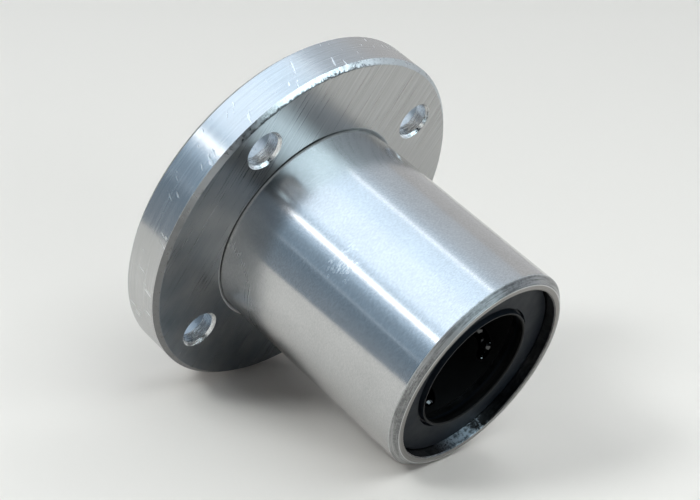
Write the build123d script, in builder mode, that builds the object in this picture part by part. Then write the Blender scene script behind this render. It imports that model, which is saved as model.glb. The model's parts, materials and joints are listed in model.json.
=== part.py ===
"""Round-flanged linear ball bushing for a 16 mm shaft, built piece by piece.

The bore lies along +Y, from the flange towards the barrel's free end.
The origin is on the bore axis, in the flange's seating face. +Z is up.
All sizes are in millimetres.
"""
import os
from math import asin, cos, degrees, radians, sin, sqrt

from build123d import *

os.makedirs("parts", exist_ok=True)

# Barrel and flange
SHAFT_R = 8.0
BARREL_R = 14.0
BARREL_LENGTH = 31.0
FLANGE_R = 24.0
FLANGE_THICKNESS = 6.0
RIM_CHAMFER = 0.6
FLANGE_BORE_R = 13.6
ROOT_R = 13.9
ROOT_DEPTH = 0.4
ROOT_GAP = 0.03
MOUTH_R = 14.4
END_CHAMFER = 0.85
REAR_EDGE_CHAMFER = 0.3

# Screw holes, counterbored from the flange's outer face
HOLE_COUNT = 4
HOLE_CIRCLE_R = 19.0
HOLE_START_ANGLE = 45.0
HOLE_R = 2.25
COUNTERBORE_R = 3.75
COUNTERBORE_DEPTH = 4.1
HOLE_CHAMFER = 0.35

# Balls and their circuits
BALL_R = 2.381 / 2
BALL_FIT = 0.01
CIRCUIT_COUNT = 5
CIRCUIT_START_ANGLE = 44.0
STRAIGHT_LENGTH = 22.6
TURN_R = 2.1
BALLS_PER_ROW = 10
ROW_PITCH = 2.40
TURN_BALL_GAP = 0.03
CHANNEL_CLEARANCE = 0.15
RELIEF_CLEARANCE = 0.2

# Pieces stacked inwards from each end of the barrel
END_BORE_R = 12.3
END_BORE_CHAMFER = 0.15
SEAL_DEPTH = 1.5
SEAL_THICKNESS = 1.2
END_RING_THICKNESS = 0.7
END_RING_BORE_R = 8.6

# Seal face and lip
LIP_TOP_DEPTH = 1.05
LIP_TOP_INNER_R = 8.12
LIP_TOP_OUTER_R = 8.3
LIP_LAND_START = 1.17
LIP_LAND_END = 1.7
GROOVE_INNER_R = 8.42
GROOVE_OUTER_R = 8.57
GROOVE_DEPTH = 0.4
SEAL_BACK_R = 8.5
SEAL_EDGE = 0.15

# Retainer
RETAINER_BORE_R = 8.3
RETAINER_R = 10.25
RETAINER_CHAMFER = 0.3

# Sizes that follow from the ones above
REAR_END = -FLANGE_THICKNESS
FRONT_END = BARREL_LENGTH
MIDDLE = (REAR_END + FRONT_END) / 2
STACK_DEPTH = SEAL_DEPTH + SEAL_THICKNESS + END_RING_THICKNESS
LOADED_ROW_R = SHAFT_R + BALL_R + BALL_FIT
RACE_R = LOADED_ROW_R + BALL_R + BALL_FIT
RETURN_OFFSET = 2 * TURN_R
TURN_HALF_ANGLE = asin((2 * BALL_R + TURN_BALL_GAP) / (2 * TURN_R))


def export(part, label):
    """Label one piece and write it to its own file."""
    part.label = label
    export_step(part, f"parts/{label}.step")


def ring(points):
    """Turn a closed (radius, height) outline about the bore axis."""
    with BuildPart() as turned:
        with BuildSketch(Plane.XY):
            with BuildLine():
                Polyline(*points, close=True)
            make_face()
        revolve(axis=Axis.Y)
    return turned.part


def circuit_plane(index):
    """Plane of one ball circuit: x along the bore, y from the loaded row to the return row."""
    angle = radians(CIRCUIT_START_ANGLE + index * 360 / CIRCUIT_COUNT)
    outward = Vector(cos(angle), 0, sin(angle))
    return Plane(origin=outward * LOADED_ROW_R + Vector(0, MIDDLE, 0), x_dir=(0, 1, 0), z_dir=outward)


def ball_channel(plane, clearance, with_loaded_row):
    """Round-bottomed track that one circuit's balls run in."""
    half = STRAIGHT_LENGTH / 2
    with BuildPart() as channel:
        with BuildLine(plane) as path:
            Line((half, RETURN_OFFSET), (-half, RETURN_OFFSET))
            ThreePointArc((-half, RETURN_OFFSET), (-half - TURN_R, TURN_R), (-half, 0))
            ThreePointArc((half, 0), (half + TURN_R, TURN_R), (half, RETURN_OFFSET))
            if with_loaded_row:
                Line((-half, 0), (half, 0))
        across = Plane(
            origin=plane.from_local_coords((0, RETURN_OFFSET, 0)),
            x_dir=plane.z_dir,
            z_dir=plane.x_dir,
        )
        track = path.wires()[0]
        if not with_loaded_row:
            across = Plane(origin=track @ 0, x_dir=plane.z_dir, z_dir=track % 0)
        with BuildSketch(across):
            Circle(BALL_R + clearance)
        sweep(path=track)
    return channel.part


# Outer sleeve: hardened barrel, tapered and stepped down at the rear for the flange ring, with a
# race over each loaded row and a relief over each return row
sleeve_outline = [
    (FLANGE_BORE_R, REAR_END + REAR_EDGE_CHAMFER),
    (FLANGE_BORE_R, -ROOT_DEPTH),
    (ROOT_R, -ROOT_DEPTH),
    (BARREL_R, 0),
    (BARREL_R, FRONT_END - END_CHAMFER),
    (BARREL_R - END_CHAMFER, FRONT_END),
    (END_BORE_R + END_BORE_CHAMFER, FRONT_END),
    (END_BORE_R, FRONT_END - END_BORE_CHAMFER),
    (END_BORE_R, FRONT_END - STACK_DEPTH),
    (RACE_R, FRONT_END - STACK_DEPTH),
    (RACE_R, REAR_END + STACK_DEPTH),
    (END_BORE_R, REAR_END + STACK_DEPTH),
    (END_BORE_R, REAR_END + END_BORE_CHAMFER),
    (END_BORE_R + END_BORE_CHAMFER, REAR_END),
    (FLANGE_BORE_R - REAR_EDGE_CHAMFER, REAR_END),
]
with BuildPart() as outer_sleeve:
    add(ring(sleeve_outline))
    for index in range(CIRCUIT_COUNT):
        add(ball_channel(circuit_plane(index), RELIEF_CLEARANCE, False), mode=Mode.SUBTRACT)
export(outer_sleeve.part, "outer_sleeve")

# Flange: separate ring fixed round the rear of the sleeve, with counterbored screw holes
flange_outline = [
    (FLANGE_BORE_R, -ROOT_DEPTH),
    (ROOT_R + ROOT_GAP, -ROOT_DEPTH),
    (MOUTH_R, 0),
    (FLANGE_R - RIM_CHAMFER, 0),
    (FLANGE_R, -RIM_CHAMFER),
    (FLANGE_R, REAR_END + RIM_CHAMFER),
    (FLANGE_R - RIM_CHAMFER, REAR_END),
    (FLANGE_BORE_R + REAR_EDGE_CHAMFER, REAR_END),
    (FLANGE_BORE_R, REAR_END + REAR_EDGE_CHAMFER),
]
with BuildPart() as flange:
    add(ring(flange_outline))
    with BuildSketch(Plane.XZ):
        with PolarLocations(HOLE_CIRCLE_R, HOLE_COUNT, start_angle=HOLE_START_ANGLE):
            Circle(HOLE_R)
    extrude(amount=FLANGE_THICKNESS, mode=Mode.SUBTRACT)
    with BuildSketch(Plane.XZ.offset(FLANGE_THICKNESS - COUNTERBORE_DEPTH)):
        with PolarLocations(HOLE_CIRCLE_R, HOLE_COUNT, start_angle=HOLE_START_ANGLE):
            Circle(COUNTERBORE_R)
    extrude(amount=COUNTERBORE_DEPTH, mode=Mode.SUBTRACT)
    seat_mouths = flange.faces().sort_by(Axis.Y)[-1].inner_wires().edges()
    chamfer([edge for edge in seat_mouths if edge.radius < COUNTERBORE_R], HOLE_CHAMFER)
export(flange.part, "flange")


def seal_outline(end, inward):
    """Outline of one seal: flat face, groove and raised lip; inward is +1 or -1 along the bore."""
    def at(radius, depth):
        return (radius, end + inward * depth)

    back = SEAL_DEPTH + SEAL_THICKNESS
    return [
        at(END_BORE_R, SEAL_DEPTH + SEAL_EDGE),
        at(END_BORE_R - SEAL_EDGE, SEAL_DEPTH),
        at(GROOVE_OUTER_R + SEAL_EDGE, SEAL_DEPTH),
        at(GROOVE_OUTER_R, SEAL_DEPTH + GROOVE_DEPTH),
        at(GROOVE_INNER_R, SEAL_DEPTH + GROOVE_DEPTH),
        at(LIP_TOP_OUTER_R, LIP_TOP_DEPTH),
        at(LIP_TOP_INNER_R, LIP_TOP_DEPTH),
        at(SHAFT_R, LIP_LAND_START),
        at(SHAFT_R, LIP_LAND_END),
        at(SEAL_BACK_R, back),
        at(END_BORE_R, back),
    ]


def end_ring_outline(end, inward):
    """Outline of the plain ring between a seal and the retainer."""
    near = end + inward * (SEAL_DEPTH + SEAL_THICKNESS)
    far = end + inward * STACK_DEPTH
    return [(END_RING_BORE_R, near), (END_BORE_R, near), (END_BORE_R, far), (END_RING_BORE_R, far)]


# Seals and end rings, one of each at both ends
with BuildPart() as front_seal:
    add(ring(seal_outline(FRONT_END, -1)))
export(front_seal.part, "front_seal")

with BuildPart() as rear_seal:
    add(ring(seal_outline(REAR_END, 1)))
export(rear_seal.part, "rear_seal")

with BuildPart() as front_end_ring:
    add(ring(end_ring_outline(FRONT_END, -1)))
export(front_end_ring.part, "front_end_ring")

with BuildPart() as rear_end_ring:
    add(ring(end_ring_outline(REAR_END, 1)))
export(rear_end_ring.part, "rear_end_ring")

# Retainer: one plastic cage with a closed track for each circuit, open to the shaft at the loaded row
retainer_outline = [
    (RETAINER_BORE_R, REAR_END + STACK_DEPTH),
    (RETAINER_R - RETAINER_CHAMFER, REAR_END + STACK_DEPTH),
    (RETAINER_R, REAR_END + STACK_DEPTH + RETAINER_CHAMFER),
    (RETAINER_R, FRONT_END - STACK_DEPTH - RETAINER_CHAMFER),
    (RETAINER_R - RETAINER_CHAMFER, FRONT_END - STACK_DEPTH),
    (RETAINER_BORE_R, FRONT_END - STACK_DEPTH),
]
with BuildPart() as ball_retainer:
    add(ring(retainer_outline))
    for index in range(CIRCUIT_COUNT):
        add(ball_channel(circuit_plane(index), CHANNEL_CLEARANCE, True), mode=Mode.SUBTRACT)
export(ball_retainer.part, "ball_retainer")


def row_points(plane, offset):
    """Ball centres along one straight row, offset sideways from the loaded row."""
    first = -(BALLS_PER_ROW - 1) / 2
    return [
        plane.from_local_coords(((first + ball) * ROW_PITCH, offset, 0))
        for ball in range(BALLS_PER_ROW)
    ]


def turn_points(plane, side):
    """Ball centres in the half-circle turn at one end of a circuit; side is +1 or -1 along the bore."""
    reach = STRAIGHT_LENGTH / 2 + TURN_R * cos(TURN_HALF_ANGLE)
    spread = TURN_R * sin(TURN_HALF_ANGLE)
    return [
        plane.from_local_coords((side * reach, TURN_R - spread, 0)),
        plane.from_local_coords((side * reach, TURN_R + spread, 0)),
    ]


# Balls: five circuits, each with a loaded row, a return row and the balls in its two turns
for index in range(CIRCUIT_COUNT):
    plane = circuit_plane(index)
    groups = {
        "loaded_balls": row_points(plane, 0),
        "return_balls": row_points(plane, RETURN_OFFSET),
        "front_turn_balls": turn_points(plane, 1),
        "rear_turn_balls": turn_points(plane, -1),
    }
    for name, centres in groups.items():
        with BuildPart() as balls:
            with Locations(*centres):
                Sphere(BALL_R)
        export(balls.part, f"{name}_{index + 1}")
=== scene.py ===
import json
import math
from functools import cached_property

import bpy
from mathutils import Matrix, Vector


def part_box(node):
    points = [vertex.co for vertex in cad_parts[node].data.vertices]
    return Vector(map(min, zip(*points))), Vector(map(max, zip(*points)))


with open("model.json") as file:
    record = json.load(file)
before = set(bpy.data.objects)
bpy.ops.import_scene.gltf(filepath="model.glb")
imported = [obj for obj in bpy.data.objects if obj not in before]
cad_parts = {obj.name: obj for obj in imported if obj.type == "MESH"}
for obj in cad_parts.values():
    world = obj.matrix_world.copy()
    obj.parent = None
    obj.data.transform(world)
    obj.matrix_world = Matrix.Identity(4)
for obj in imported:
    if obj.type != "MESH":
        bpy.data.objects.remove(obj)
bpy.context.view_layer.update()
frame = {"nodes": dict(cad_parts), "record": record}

NODES = frame["nodes"]
BALL_NODES = [name for name in NODES if "_balls_" in name]
MOUNTS = {mount["name"]: mount["dims"] for mount in frame["record"]["mounts"]}


# ---------------------------------------------------------------- sizes and directions

# Sizes in millimetres, as the materials use them. The chamfers and the lip repeat the model's own sizes,
# which the record doesn't hold. MOUTH_R is just outside the wall of the flange's mouth.
MM = 0.001
FLANGE_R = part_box("flange")[1][0] / MM
BARREL_R = MOUNTS["barrel_seat"]["r_mm"]
BARREL_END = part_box("outer_sleeve")[1][1] / MM
RIM_CHAMFER = 0.6
END_CHAMFER = 0.85
HOLE_CHAMFER = 0.35
MOUTH_R = 14.42
SEAL_LIP_R = 8.2
HOLE_CENTRE = MOUNTS["flange_screws"]["pcd_mm"] / 2 * math.sqrt(0.5)
HOLE_MOUTH_R = MOUNTS["flange_screws"]["hole_r_mm"] + HOLE_CHAMFER

# Directions round the bore's axis are angles from +X towards +Z.
BRUSH_ANGLE = math.radians(108.0)      # the way the brush marks lie on the flange's faces
PALE_ANGLE = math.atan2(0.8, -0.6)     # the side where those faces are palest, away from their painted shade
DARK_REFLECTION_ANGLE = math.radians(20.0)        # the middle of a sector on them with painted dark reflection
LIGHT_SIDE_ANGLE = math.radians(100.0)       # the side where painted light makes the rim's chamfer palest
BURR_FROM, BURR_TO = math.radians(34.0), math.radians(98.0)
SCUFF_FROM, SCUFF_TO = math.radians(-124.0), math.radians(-86.0)

# Middle of the handling mark on the barrel: its direction, and its place along the bore in millimetres.
MARK_ANGLE = math.radians(32.0)
MARK_ALONG = 15.0

# Factors for the parts of a place, so that noise there looks like the marks of turning.
TURNING_MARKS = (0.05, 6.0, 0.05)

# The table touches the rims of the flange and of the barrel's end, so it slopes along the bore.
TABLE_SLOPE = (FLANGE_R - BARREL_R) / (BARREL_END - END_CHAMFER + RIM_CHAMFER)
TABLE_POINT = Vector((0.0, -RIM_CHAMFER * MM, -FLANGE_R * MM))
TABLE_HALF = 2.0
TABLE_COLOUR = (0.86, 0.80, 0.755, 1.0)


# ---------------------------------------------------------------- light levels and places, in metres

# Lights over the table: name, place in X and Y, size along X and Y, and radiance.
LIGHT_HEIGHT = 0.600
LIGHT_COLOUR = (0.90, 0.98, 1.0)
TABLE_LIGHTS = (
    ("table_key", (0.750, -0.450), (0.30, 0.30), 25.0),
    ("table_near", (0.450, -0.450), (0.30, 0.30), 6.0),
    ("table_over", (0.000, 0.150), (0.60, 0.30), 3.6),
    ("table_front", (0.300, 0.750), (0.60, 0.30), 5.8),
    ("table_far", (-0.750, -0.600), (0.30, 0.60), 3.9),
    ("table_side", (-0.450, -0.150), (0.30, 0.30), 3.6),
)

# Soft light over the open end, turned about the vertical.
PANEL_AT = (0.02, 0.45, 0.580)
PANEL_SIZE = (0.60, 0.50)
PANEL_RADIANCE = 3.90
PANEL_COLOUR = (0.72, 0.91, 1.0)
PANEL_TURN = math.radians(116.0)

# Cards that the metal mirrors. Each stop is a place in millimetres, a light level, and how blue it is.
# A colour ramp holds no level above one, so its colours are shares of the peak level.
PEAK_LEVEL = 4.0

# Ceiling: a bluish glow along X, crossed by two bright strips, one near and one far.
CEILING_STOPS = (
    (-940.0, 0.67, 0.07), (-420.0, 0.75, 0.11), (-300.0, 0.84, 0.14), (-230.0, 0.96, 0.17),
    (-190.0, 1.16, 0.15), (-180.0, 2.30, 0.09), (-160.0, 2.30, 0.09), (-150.0, 1.36, 0.19),
    (50.0, 1.54, 0.19), (180.0, 1.70, 0.16), (530.0, 1.68, 0.16), (620.0, 1.50, 0.19),
    (710.0, 1.11, 0.22), (830.0, 1.15, 0.19), (870.0, 3.80, 0.05), (950.0, 3.80, 0.05),
    (1000.0, 1.10, 0.18), (1140.0, 0.94, 0.24), (1360.0, 0.66, 0.28),
)
CEILING_X = (-1.04, 1.76)
CEILING_Y = (-1.30, 0.05)
CEILING_Z = 0.600

# Card beside the part, along Z: dim low down, a faint step part of the way up, paler towards its top.
SIDE_STOPS = (
    (-20.0, 0.34, 0.18), (4.0, 0.29, 0.26), (14.5, 0.30, 0.28), (15.5, 0.69, 0.17), (17.2, 0.69, 0.17),
    (18.4, 0.40, 0.28), (33.0, 0.43, 0.27), (40.0, 0.52, 0.26), (48.0, 0.76, 0.26), (54.0, 1.00, 0.22),
)
SIDE_X = 0.100
SIDE_Y = (-0.22, 0.06)
SIDE_FOOT, SIDE_TOP = -0.030, 0.059

# Far walls, along Y: plain, brighter and bluer towards the side that the part is seen from.
WALL_STOPS = ((0.0, 0.62, 0.01), (1400.0, 1.15, 0.15))
WALL_FEET = ((-0.5, -2.4, -0.8), (-1.6, -1.6, -0.8), (-1.6, 1.4, -0.4))
WALL_TOP = 4.0

# Surroundings past the cards: tones facing away from PALE_SIDE and facing it, levels low and high up.
PALE_SIDE = (-0.50, -0.87, 0.0)
ROOM_TONES = ((0.05, 0.055, 0.065, 1.0), (0.36, 0.37, 0.38, 1.0))
ROOM_SPREAD = 0.8
ROOM_LOW, ROOM_HIGH = 0.05, 0.45
ROOM_LEVELS = (1.0, 0.15)


# ---------------------------------------------------------------- camera

CAMERA_AT = Vector((0.14490, 0.10261, 0.10454))
CAMERA_RIGHT = Vector((-0.67145, 0.66401, 0.32901))
CAMERA_UP = Vector((-0.18453, -0.57981, 0.79358))
LENS, SENSOR_WIDTH = 84.17, 36.0
CLIP_NEAR, CLIP_FAR = 0.005, 20.0


def make_camera():
    data = bpy.data.cameras.new("camera")
    data.lens = LENS
    data.sensor_width = SENSOR_WIDTH
    data.clip_start = CLIP_NEAR
    data.clip_end = CLIP_FAR
    camera = bpy.data.objects.new("camera", data)
    bpy.context.collection.objects.link(camera)
    back = CAMERA_RIGHT.cross(CAMERA_UP).normalized()
    up = back.cross(CAMERA_RIGHT).normalized()
    right = up.cross(back)
    turn = Matrix((right, up, back)).transposed().to_4x4()
    camera.matrix_world = Matrix.Translation(CAMERA_AT) @ turn
    bpy.context.scene.camera = camera


# ---------------------------------------------------------------- node helpers

class Graph:
    """The nodes of one material, with short names for making them.

    place is where a point lies in the row frame, in millimetres; x, y and z are its parts, and r is its
    distance from the bore's axis. Their nodes are made when they are first used.
    """

    def __init__(self, name):
        self.material = bpy.data.materials.new(name)
        self.material.use_nodes = True
        self.tree = self.material.node_tree
        self.shader = self.tree.nodes["Principled BSDF"]

    @cached_property
    def place(self):
        where = self.node("ShaderNodeTexCoord").outputs["Object"]
        return self.node("ShaderNodeVectorMath", {0: where, "Scale": 1 / MM}, operation="SCALE").outputs[0]

    @cached_property
    def parts(self):
        return self.node("ShaderNodeSeparateXYZ", {0: self.place}).outputs

    @cached_property
    def x(self):
        return self.parts["X"]

    @cached_property
    def y(self):
        return self.parts["Y"]

    @cached_property
    def z(self):
        return self.parts["Z"]

    @cached_property
    def r(self):
        return self.radius(self.x, self.z)

    def node(self, kind, inputs=(), **settings):
        made = self.tree.nodes.new(kind)
        for key, value in settings.items():
            setattr(made, key, value)
        for key, value in dict(inputs).items():
            self.put(made.inputs[key], value)
        return made

    def put(self, socket, value):
        if hasattr(value, "is_linked"):
            self.tree.links.new(value, socket)
        else:
            socket.default_value = value

    def set(self, **values):
        for key, value in values.items():
            self.put(self.shader.inputs[key.replace("_", " ")], value)

    def math(self, operation, a, b=0.0):
        return self.node("ShaderNodeMath", {0: a, 1: b}, operation=operation).outputs[0]

    def plus(self, a, b):
        return self.math("ADD", a, b)

    def minus(self, a, b):
        return self.math("SUBTRACT", a, b)

    def times(self, a, b):
        return self.math("MULTIPLY", a, b)

    def above(self, a, b):
        return self.math("GREATER_THAN", a, b)

    def below(self, a, b):
        return self.math("LESS_THAN", a, b)

    def radius(self, x, z):
        return self.math("SQRT", self.plus(self.times(x, x), self.times(z, z)))

    def angle(self):
        return self.math("ARCTAN2", self.z, self.x)

    def toward(self, angle):
        """Distance from the bore's axis in the direction at this angle round it."""
        return self.plus(self.times(self.x, math.cos(angle)), self.times(self.z, math.sin(angle)))

    def vector(self, x, y, z):
        return self.node("ShaderNodeCombineXYZ", {0: x, 1: y, 2: z}).outputs[0]

    def squeezed(self, factors, parts=None):
        """A place with its parts scaled, so that noise there is drawn out along the smallest."""
        parts = parts or (self.x, self.y, self.z)
        return self.vector(*(self.times(part, factor) for part, factor in zip(parts, factors)))

    def noise(self, vector, scale, detail=2.0, roughness=0.5, distortion=0.0):
        made = self.node("ShaderNodeTexNoise", {
            "Vector": vector, "Scale": scale, "Detail": detail,
            "Roughness": roughness, "Distortion": distortion,
        })
        return made.outputs["Fac"]

    def span(self, value, low, high, to_low=0.0, to_high=1.0, smooth=False):
        """A value's way from low to high, as a number from to_low to to_high, held at both ends."""
        made = self.node("ShaderNodeMapRange", clamp=True)
        made.interpolation_type = "SMOOTHSTEP" if smooth else "LINEAR"
        for socket, number in zip(made.inputs, (value, low, high, to_low, to_high)):
            self.put(socket, number)
        return made.outputs[0]

    def mix(self, factor, a, b):
        """Colour a where the factor is 0, colour b where it is 1."""
        return self.node("ShaderNodeMix", {0: factor, 6: a, 7: b}, data_type="RGBA").outputs[2]

    def blend(self, factor, a, b):
        """Number a where the factor is 0, number b where it is 1."""
        return self.node("ShaderNodeMix", {0: factor, 2: a, 3: b}, data_type="FLOAT").outputs[0]

    def ramp(self, value, stops):
        """Light levels at the stops' places, each blended into the next."""
        low, high = stops[0][0], stops[-1][0]
        made = self.node("ShaderNodeValToRGB", {"Fac": self.span(value, low, high)})
        elements = made.color_ramp.elements
        while len(elements) < len(stops):
            elements.new(1.0)
        for element, (place, level, blue) in zip(elements, stops):
            element.position = (place - low) / (high - low)
            element.color = grey(level / PEAK_LEVEL, -blue)
        return made.outputs["Color"]

    def bump(self, height, distance, strength=1.0):
        """Relief of this height times this distance in millimetres."""
        inputs = {"Height": height, "Distance": distance * MM, "Strength": strength}
        return self.node("ShaderNodeBump", inputs).outputs[0]


def grey(level, warm=0.0):
    """A grey with more red and less blue, or the other way round where warm is below 0."""
    return (level * (1 + warm), level, level * (1 - warm), 1.0)


# ---------------------------------------------------------------- barrel

def handling_mark(g, grains):
    """Where the bright specks of a ragged patch beside the highlight are."""
    middle = (BARREL_R * math.cos(MARK_ANGLE), MARK_ALONG, BARREL_R * math.sin(MARK_ANGLE))
    away = g.node("ShaderNodeVectorMath", {0: g.place, 1: middle}, operation="DISTANCE").outputs["Value"]
    ragged = g.span(g.noise(g.place, 1.1, 3.0, 0.6), 0.35, 0.65, -1.1, 1.1)
    inside = g.span(g.plus(away, ragged), 0.2, 1.9, 1.0, 0.0)
    return g.times(inside, g.span(g.noise(grains, 3.0, 4.0, 0.75), 0.50, 0.57))


def ground_finish(g):
    """Even grinding grain, pale speckle, soft smudges, the handling mark, and painted shade beside the
    flange.
    """
    lines = g.noise(g.squeezed(TURNING_MARKS), 1.0, 4.0, 0.6)
    grains = g.squeezed((0.45, 1.3, 0.45))
    speckle = g.noise(grains, 6.5, 3.0, 0.65)
    soft = g.noise(g.place, 0.22, 3.0, 0.55)
    tone = g.mix(g.span(soft, 0.35, 0.65), grey(0.50), grey(0.53))
    tone = g.mix(g.span(speckle, 0.40, 0.62, 0.0, 0.28), tone, grey(0.82))
    smudge = g.span(g.noise(g.place, 0.8, 4.0, 0.6), 0.6, 0.75)
    rough = g.plus(g.span(lines, 0.3, 0.7, 0.15, 0.19), g.times(smudge, 0.03))

    # painted shade in the joint with the flange, darker towards +X on one side of the barrel
    painted_joint_shade = g.times(g.below(g.y, 0.0), g.span(g.x, -3.0, 5.0, 0.0, 0.9))
    tone = g.mix(painted_joint_shade, tone, grey(0.10))

    # duller near the flange, most of all underneath
    rough = g.plus(rough, g.span(g.y, 1.0, 6.0, 0.05, 0.0))
    near_root = g.times(g.span(g.y, 3.0, 12.0, 1.0, 0.0), g.span(g.z, -3.0, 3.0, 1.0, 0.0))
    rough = g.plus(rough, g.times(near_root, 0.12))

    specks = handling_mark(g, grains)
    tone = g.mix(specks, tone, grey(0.97))
    rough = g.plus(rough, g.times(specks, 0.26))
    return tone, rough, g.plus(g.times(lines, 0.4), g.times(speckle, 0.6))


def chamfer_finish(g, chamfer_start):
    """Dark and pale chatter marks in layers, with a painted highlight as a pale line along the edge of the
    ground surface.
    """
    chatter = g.noise(g.place, 2.4, 5.0, 0.75, 0.6)
    flecks = g.noise(g.squeezed((1.0, 3.0, 1.0)), 3.5, 3.0, 0.7)
    layers = g.noise(g.squeezed((0.12, 3.0, 0.12), (g.x, g.r, g.z)), 1.6, 3.0, 0.6)
    tone = g.mix(g.span(chatter, 0.36, 0.62), grey(0.12, -0.02), grey(0.28))
    tone = g.mix(g.span(layers, 0.42, 0.58, 0.0, 0.8), tone, grey(0.42))
    patchy = g.span(g.noise(g.place, 0.16), 0.45, 0.6)
    dashes = g.times(patchy, g.span(flecks, 0.56, 0.66, 0.0, 0.7))
    tone = g.mix(dashes, tone, grey(0.05))
    # painted highlight: a pale line where the chamfer meets the ground surface
    edge = g.span(g.y, chamfer_start + 0.1, chamfer_start - 0.02)
    tone = g.mix(g.times(edge, g.span(chatter, 0.3, 0.5, 0.3, 1.0)), tone, grey(0.62))
    rough = g.span(chatter, 0.3, 0.7, 0.32, 0.5)
    return tone, rough, g.plus(g.times(chatter, 6.0), g.times(flecks, 6.0))


def face_tone(g, face_r):
    """Turned end face, with a painted highlight as a pale line where the chamfer begins."""
    turned = g.noise(g.squeezed(TURNING_MARKS, (g.x, g.r, g.z)), 1.6, 3.0, 0.6)
    tone = g.mix(g.span(turned, 0.35, 0.65), grey(0.20, 0.06), grey(0.33, 0.04))
    # painted highlight along the inner edge of the chamfer
    return g.mix(g.span(g.r, face_r - 0.16, face_r - 0.04), tone, grey(0.62))


def recess_finish(g):
    """Recess wall painted dark as shade, with one bright scuffed stretch at the free end."""
    pits = g.noise(g.place, 1.6, 5.0, 0.7)
    angle = g.plus(g.angle(), g.span(pits, 0.3, 0.7, -0.12, 0.12))
    scuffed = g.times(g.span(angle, SCUFF_FROM, SCUFF_FROM + 0.2), g.span(angle, SCUFF_TO, SCUFF_TO - 0.25))
    scuffed = g.times(scuffed, g.above(g.y, 0.0))
    # painted shade: the wall's tone is near black
    painted_dark = g.mix(g.span(pits, 0.4, 0.6), grey(0.05), grey(0.14))
    bright = g.mix(g.span(pits, 0.42, 0.56), grey(0.08, -0.1), grey(0.36, -0.1))
    return g.mix(scuffed, painted_dark, bright), g.blend(scuffed, 0.16, 0.52), g.times(pits, 6.0)


def sleeve_material():
    """Ground barrel, its end chamfer, end face and recess wall, told apart by radius and by place."""
    g = Graph("ground_barrel")
    chamfer_start, face_r = BARREL_END - END_CHAMFER, BARREL_R - END_CHAMFER
    ground = g.times(g.above(g.r, BARREL_R - 0.15), g.below(g.y, chamfer_start - 0.04))
    chamfer = g.times(g.above(g.y, chamfer_start - 0.04), g.above(g.r, face_r + 0.03))
    face = g.times(g.above(g.y, BARREL_END - 0.02), g.below(g.r, face_r + 0.03))
    ground_tone, ground_rough, ground_relief = ground_finish(g)
    chamfer_tone, chamfer_rough, chamfer_relief = chamfer_finish(g, chamfer_start)
    recess_tone, recess_rough, recess_relief = recess_finish(g)

    tone = g.mix(chamfer, g.mix(face, recess_tone, face_tone(g, face_r)), chamfer_tone)
    rough = g.blend(chamfer, g.blend(face, recess_rough, 0.38), chamfer_rough)
    relief = g.blend(chamfer, recess_relief, chamfer_relief)
    g.set(Base_Color=g.mix(ground, tone, ground_tone), Metallic=1.0)
    g.set(Roughness=g.blend(ground, rough, ground_rough))
    g.set(Anisotropic=0.75, Tangent=g.vector(0.0, 1.0, 0.0))
    g.set(Normal=g.bump(g.blend(ground, relief, ground_relief), 0.004))
    return g.material


# ---------------------------------------------------------------- flange

def rim_nicks(g, rim):
    """Where the rim has short slanting nicks."""
    slanted = g.plus(g.times(g.times(g.angle(), FLANGE_R), 1.5), g.times(g.y, 0.7))
    return g.times(rim, g.span(g.noise(g.vector(slanted, g.times(g.y, 0.35), 0.0), 1.1), 0.66, 0.70))


def burred_stretch(g):
    """The stretch round the rim where the chamfer is burred."""
    angle = g.angle()
    return g.times(g.span(angle, BURR_FROM, BURR_FROM + 0.3), g.span(angle, BURR_TO, BURR_TO - 0.3))


def burr_line(g, ragged, burred):
    """A broken dark line just inside the chamfer: strong along the burred stretch, fainter elsewhere."""
    place = g.plus(g.r, g.times(g.minus(ragged, 0.5), 0.9))
    outward = g.span(place, FLANGE_R - 0.75, FLANGE_R - 0.62)
    inward = g.span(place, FLANGE_R - 0.40, FLANGE_R - 0.55)
    elsewhere = g.span(g.noise(g.place, 0.35, 3.0, 0.6), 0.56, 0.64, 0.0, 0.45)
    return g.times(g.times(outward, inward), g.math("MAXIMUM", burred, elsewhere))


def face_and_rim_tone(g, rim, marks):
    """Pale brushed faces with painted shade, darker and bluer, on one side and in one sector, and a paler
    turned rim, both a little cloudy.
    """
    face = g.mix(g.span(marks, 0.35, 0.65), grey(0.34), grey(0.54))
    # painted shade: the faces darker and bluer on the side away from the palest
    face = g.mix(g.span(g.toward(PALE_ANGLE), -18.0, 10.0, 0.90, 0.0), face, grey(0.15, -0.20))
    # painted dark reflection in one sector of the faces
    painted_dark = g.span(g.math("DIVIDE", g.toward(DARK_REFLECTION_ANGLE), g.r), 0.90, 1.0, 0.0, 0.55, smooth=True)
    face = g.mix(painted_dark, face, grey(0.12, -0.20))
    tone = g.mix(rim, face, g.mix(g.span(marks, 0.32, 0.68), grey(0.50), grey(0.64)))
    cloud = g.noise(g.place, 0.12, 3.0)
    return g.mix(g.span(cloud, 0.3, 0.7, 0.0, 0.5), tone, grey(0.45))


def bevel_tone(g, ragged, burred):
    """The rim's chamfers: painted light makes them paler towards the top, and they are ragged and bright
    where burred.
    """
    # painted light: the chamfer paler towards the top and darker below
    toward_light = g.math("DIVIDE", g.toward(LIGHT_SIDE_ANGLE), g.r)
    lit_tone = g.mix(g.span(toward_light, 0.05, 0.5), grey(0.20), grey(0.50))
    return g.mix(g.span(ragged, 0.35, 0.6), lit_tone, g.mix(burred, lit_tone, grey(0.92)))


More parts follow.
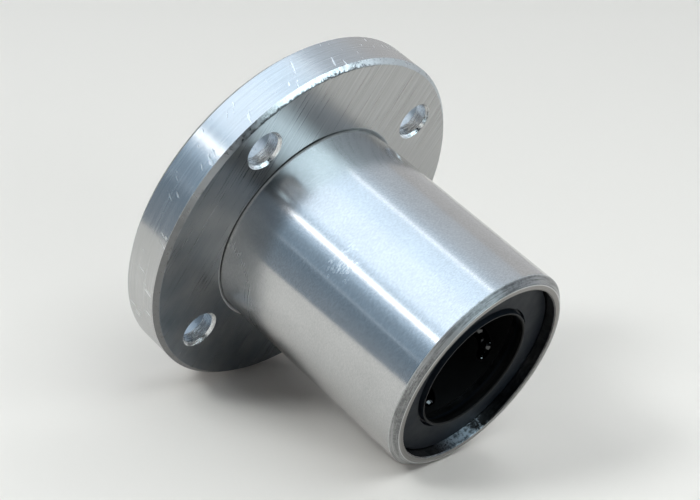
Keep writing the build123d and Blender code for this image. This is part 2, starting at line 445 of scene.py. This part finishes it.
def flange_material():
    """Straight brush marks on the faces, turning marks and nicks round the rim, bright drilled holes."""
    g = Graph("turned_flange")
    rim = g.above(g.r, FLANGE_R - 0.02)
    flat = g.minus(1.0, rim)
    bevel = g.times(flat, g.above(g.r, FLANGE_R - RIM_CHAMFER + 0.02))
    mouth = g.times(g.below(g.r, MOUTH_R), g.above(g.y, -0.5))
    hole_x = g.minus(g.math("ABSOLUTE", g.x), HOLE_CENTRE)
    hole_z = g.minus(g.math("ABSOLUTE", g.z), HOLE_CENTRE)
    hole = g.below(g.radius(hole_x, hole_z), HOLE_MOUTH_R)

    # brush marks on the faces all lie the same way
    along, across = g.toward(BRUSH_ANGLE), g.toward(BRUSH_ANGLE + math.pi / 2)
    brush = g.noise(g.squeezed((0.05, 2.2, 1.0), (along, across, g.y)), 1.6, 5.0, 0.65)
    turned = g.noise(g.squeezed((0.05, 5.0, 0.05)), 1.6, 4.0, 0.6)
    drilled = g.noise(g.squeezed((0.5, 3.0, 0.5)), 2.0, 4.0, 0.7)
    marks = g.blend(hole, g.blend(rim, brush, turned), drilled)
    ragged = g.noise(g.place, 1.7, 5.0, 0.75)
    nicks = rim_nicks(g, rim)
    burred = burred_stretch(g)

    tone = g.mix(bevel, face_and_rim_tone(g, rim, marks), bevel_tone(g, ragged, burred))
    # painted light: the flange's mouth is paler, against the shade in the groove by the barrel
    tone = g.mix(mouth, tone, grey(0.75))
    tone = g.mix(hole, tone, g.mix(g.span(drilled, 0.38, 0.62), grey(0.55), grey(0.97)))
    tone = g.mix(nicks, tone, grey(0.95))
    g.set(Base_Color=g.mix(burr_line(g, ragged, burred), tone, grey(0.07)), Metallic=1.0)

    rough = g.blend(rim, g.span(marks, 0.3, 0.7, 0.25, 0.35), g.span(marks, 0.3, 0.7, 0.20, 0.28))
    rough = g.blend(bevel, rough, g.span(ragged, 0.3, 0.7, 0.22, 0.42))
    rough = g.blend(hole, rough, g.span(drilled, 0.3, 0.7, 0.17, 0.34))
    rough = g.blend(mouth, rough, 0.5)
    g.set(Roughness=g.blend(nicks, rough, 0.5))
    tangent = g.vector(g.times(flat, -math.sin(BRUSH_ANGLE)), rim, g.times(flat, math.cos(BRUSH_ANGLE)))
    g.set(Anisotropic=0.85, Tangent=tangent)
    relief = g.plus(g.times(marks, 0.8), g.times(nicks, -0.8))
    relief = g.plus(relief, g.times(g.times(burred, bevel), ragged))
    g.set(Normal=g.bump(relief, 0.02))
    return g.material


# ---------------------------------------------------------------- pieces inside

def clouded(name, cloud_noise, tones, gloss):
    """A material whose tone and roughness drift together: gives its graph and its tone."""
    g = Graph(name)
    cloud = g.noise(g.place, *cloud_noise)
    g.set(Roughness=g.span(cloud, 0.3, 0.7, *gloss))
    return g, g.mix(cloud, *tones)


def seal_material():
    """Dull blue-black rubber, with painted shade making it darker still inside the lip."""
    tones = ((0.003, 0.005, 0.008, 1.0), (0.007, 0.010, 0.015, 1.0))
    g, face = clouded("seal_rubber", (0.5, 3.0, 0.55), tones, (0.40, 0.52))
    # painted shade: near black inside the lip
    outside_lip = g.span(g.r, SEAL_LIP_R, SEAL_LIP_R + 0.12)
    g.set(Base_Color=g.mix(outside_lip, grey(0.001), face), Specular_IOR_Level=0.16)
    g.set(Normal=g.bump(g.noise(g.place, 3.0, 4.0, 0.6), 0.01, 0.3))
    return g.material


def plastic_material():
    """Black plastic of the retainer."""
    tones = (grey(0.0008), grey(0.003))
    g, tone = clouded("retainer_plastic", (0.8, 3.0, 0.55), tones, (0.5, 0.7))
    g.set(Base_Color=tone, Specular_IOR_Level=0.12)
    g.set(Normal=g.bump(g.noise(g.place, 6.0, 3.0, 0.6), 0.01, 0.3))
    return g.material


def ring_material():
    """Blackened steel, just seen past the lip."""
    g, tone = clouded("ring_steel", (1.0, 4.0, 0.6), (grey(0.02), grey(0.05)), (0.3, 0.45))
    g.set(Base_Color=tone, Metallic=1.0)
    g.set(Normal=g.bump(g.noise(g.place, 4.0, 3.0, 0.6), 0.01, 0.3))
    return g.material


def ball_material():
    """Polished steel, painted dark as shade inside the bore, so that only glints of the balls show."""
    g, tone = clouded("ball_steel", (2.0, 3.0), (grey(0.05), grey(0.09)), (0.03, 0.06))
    g.set(Base_Color=tone, Metallic=1.0)
    g.set(Normal=g.bump(g.noise(g.place, 9.0), 0.002, 0.2))
    return g.material


def finish_node(name, material):
    slots = NODES[name].data.materials
    slots.clear()
    slots.append(material)


def finish_nodes():
    rubber, ring, steel = seal_material(), ring_material(), ball_material()
    finish_node("outer_sleeve", sleeve_material())
    finish_node("flange", flange_material())
    finish_node("ball_retainer", plastic_material())
    for end in ("front", "rear"):
        finish_node(end + "_seal", rubber)
        finish_node(end + "_end_ring", ring)
    for name in BALL_NODES:
        finish_node(name, steel)


# ---------------------------------------------------------------- table, cards and light

def make_table():
    mesh = bpy.data.meshes.new("table")
    corners = [(-1, -1), (1, -1), (1, 1), (-1, 1)]
    mesh.from_pydata([(a * TABLE_HALF, b * TABLE_HALF, 0.0) for a, b in corners], [], [(0, 1, 2, 3)])
    table = bpy.data.objects.new("table", mesh)
    bpy.context.collection.objects.link(table)
    table.location = TABLE_POINT
    table.rotation_euler = (math.atan(TABLE_SLOPE), 0.0, 0.0)
    g = Graph("table_top")
    g.set(Base_Color=TABLE_COLOUR, Roughness=0.6)
    mesh.materials.append(g.material)


def mirrored_card(name, corners, faces, axis, stops):
    """Glowing card that is only seen in reflections, so that it lightens no shadow."""
    mesh = bpy.data.meshes.new(name)
    mesh.from_pydata(corners, [], faces)
    card = bpy.data.objects.new(name, mesh)
    bpy.context.collection.objects.link(card)
    g = Graph(name + "_cloth")
    bounces = g.node("ShaderNodeLightPath").outputs["Diffuse Depth"]
    g.set(Base_Color=grey(0.0), Roughness=1.0, Emission_Color=g.ramp(getattr(g, axis), stops))
    g.set(Emission_Strength=g.times(g.below(bounces, 0.5), PEAK_LEVEL))
    mesh.materials.append(g.material)
    for ray in ("camera", "diffuse", "shadow", "transmission", "volume_scatter"):
        setattr(card, "visible_" + ray, False)


def make_cards():
    low_x, high_x = CEILING_X
    low_y, high_y = CEILING_Y
    plan = [(low_x, low_y), (high_x, low_y), (high_x, high_y), (low_x, high_y)]
    ceiling = [(x, y, CEILING_Z) for x, y in plan]
    mirrored_card("ceiling", ceiling, [(0, 1, 2, 3)], "x", CEILING_STOPS)

    # the side card's foot keeps the table's slope
    near, far = SIDE_Y
    foot = [(SIDE_X, y, SIDE_FOOT + TABLE_SLOPE * y) for y in (near, far)]
    top = [(SIDE_X, y, SIDE_TOP) for y in (far, near)]
    mirrored_card("side_card", foot + top, [(0, 1, 2, 3)], "z", SIDE_STOPS)

    tops = [(x, y, WALL_TOP) for x, y, z in WALL_FEET]
    mirrored_card("backdrop", [*WALL_FEET, *tops], [(0, 1, 4, 3), (1, 2, 5, 4)], "y", WALL_STOPS)


def soft_light(name, centre, size, radiance, colour):
    """Light that falls on the table and that the metal doesn't mirror."""
    along, across = size
    data = bpy.data.lights.new(name, "AREA")
    data.shape = "RECTANGLE"
    data.size = along
    data.size_y = across
    data.energy = radiance * math.pi * along * across
    data.color = colour
    light = bpy.data.objects.new(name, data)
    bpy.context.collection.objects.link(light)
    light.location = centre
    light.visible_camera = False
    light.visible_glossy = False
    return light


def make_lights():
    # the panel is only mirrored, in the end face and its chamfer, and doesn't light the table
    panel = soft_light("front_panel", PANEL_AT, PANEL_SIZE, PANEL_RADIANCE, PANEL_COLOUR)
    panel.rotation_euler = (0.0, 0.0, PANEL_TURN)
    panel.visible_diffuse = False
    panel.visible_glossy = True
    for name, (x, y), size, radiance in TABLE_LIGHTS:
        soft_light(name, (x, y, LIGHT_HEIGHT), size, radiance, LIGHT_COLOUR)


def make_room():
    """Surroundings: pale on the far side of the part, dimmer on the side it is seen from."""
    world = bpy.data.worlds.new("room")
    world.use_nodes = True
    tree = world.node_tree
    background = tree.nodes["Background"]
    heading = tree.nodes.new("ShaderNodeTexCoord").outputs["Generated"]

    facing = tree.nodes.new("ShaderNodeVectorMath")
    facing.operation = "DOT_PRODUCT"
    facing.inputs[1].default_value = PALE_SIDE
    spread = tree.nodes.new("ShaderNodeMapRange")
    spread.interpolation_type = "SMOOTHSTEP"
    spread.inputs["From Min"].default_value = -ROOM_SPREAD
    spread.inputs["From Max"].default_value = ROOM_SPREAD
    tones = tree.nodes.new("ShaderNodeMix")
    tones.data_type = "RGBA"
    tones.inputs[6].default_value, tones.inputs[7].default_value = ROOM_TONES
    tree.links.new(heading, facing.inputs[0])
    tree.links.new(facing.outputs["Value"], spread.inputs["Value"])
    tree.links.new(spread.outputs["Result"], tones.inputs[0])
    tree.links.new(tones.outputs[2], background.inputs["Color"])

    parts = tree.nodes.new("ShaderNodeSeparateXYZ")
    lift = tree.nodes.new("ShaderNodeMapRange")
    for socket, number in zip(lift.inputs[1:5], (ROOM_LOW, ROOM_HIGH, *ROOM_LEVELS)):
        socket.default_value = number
    tree.links.new(heading, parts.inputs[0])
    tree.links.new(parts.outputs["Z"], lift.inputs[0])
    tree.links.new(lift.outputs[0], background.inputs["Strength"])
    bpy.context.scene.world = world


make_camera()
finish_nodes()
make_table()
make_cards()
make_lights()
make_room()
bpy.context.scene.view_settings.view_transform = "Standard"
